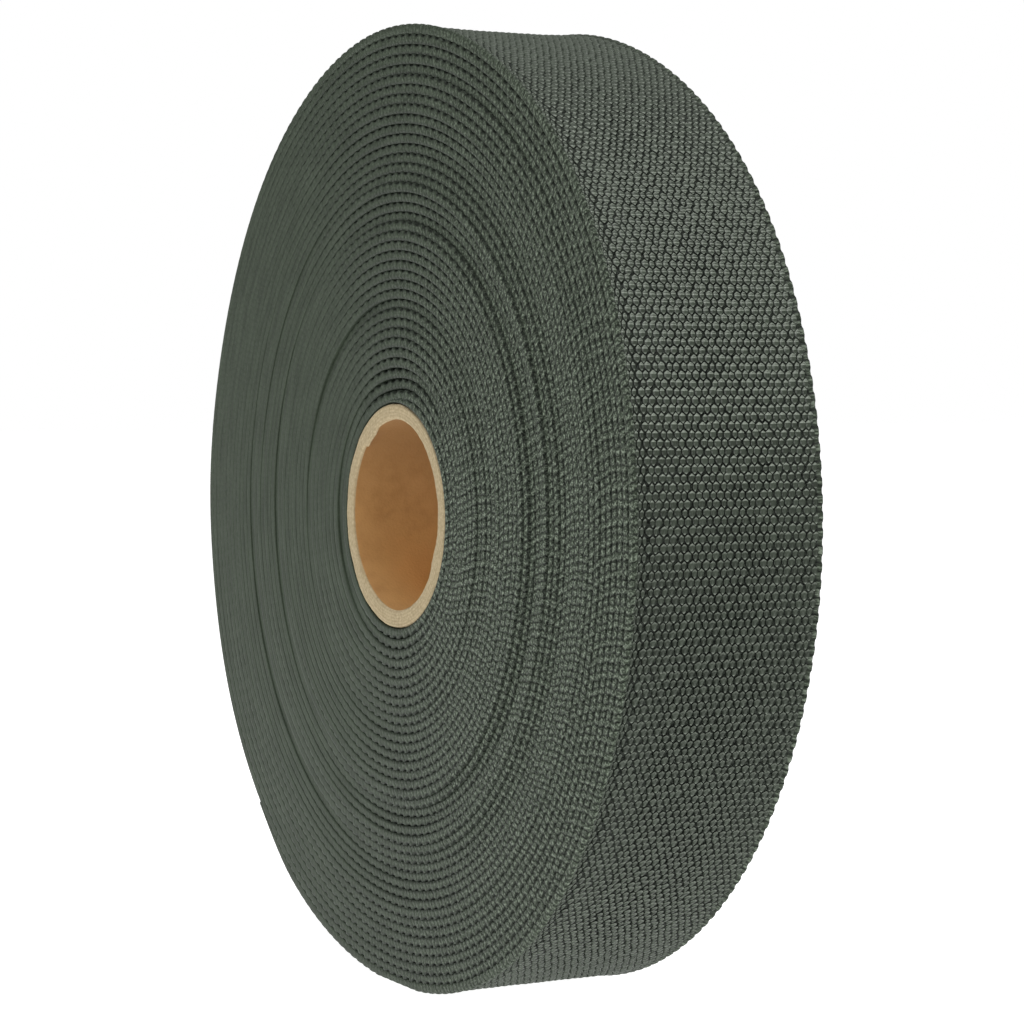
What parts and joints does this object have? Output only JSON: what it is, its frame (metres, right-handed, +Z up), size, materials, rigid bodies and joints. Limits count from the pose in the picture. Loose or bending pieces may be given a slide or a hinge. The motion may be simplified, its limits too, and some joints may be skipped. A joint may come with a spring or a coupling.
{
  "type": "roll of nylon webbing",
  "caption": "Flat-sided roll of heavy woven nylon webbing wound on a short cardboard tube, standing on its rim.",
  "frame": {"origin": "on the surface that the roll stands on, under the middle of its box; the roll's standing flat lies on Z = 0", "axes": "+Z up; the roll's axle along Y, with the face that the picture shows towards -Y and the tread that it shows towards +X"},
  "size_m": [0.1948, 0.0388, 0.1936],
  "materials": {
    "green_nylon": "heavy plain-woven nylon strap, dull with a faint sheen on the floats",
    "kraft_board": "raw kraft board, brown inside, with a paler cut edge"
  },
  "bodies": {
    "root": {"webbing": "green_nylon", "core_tube": "kraft_board"}
  },
  "joints": []
}
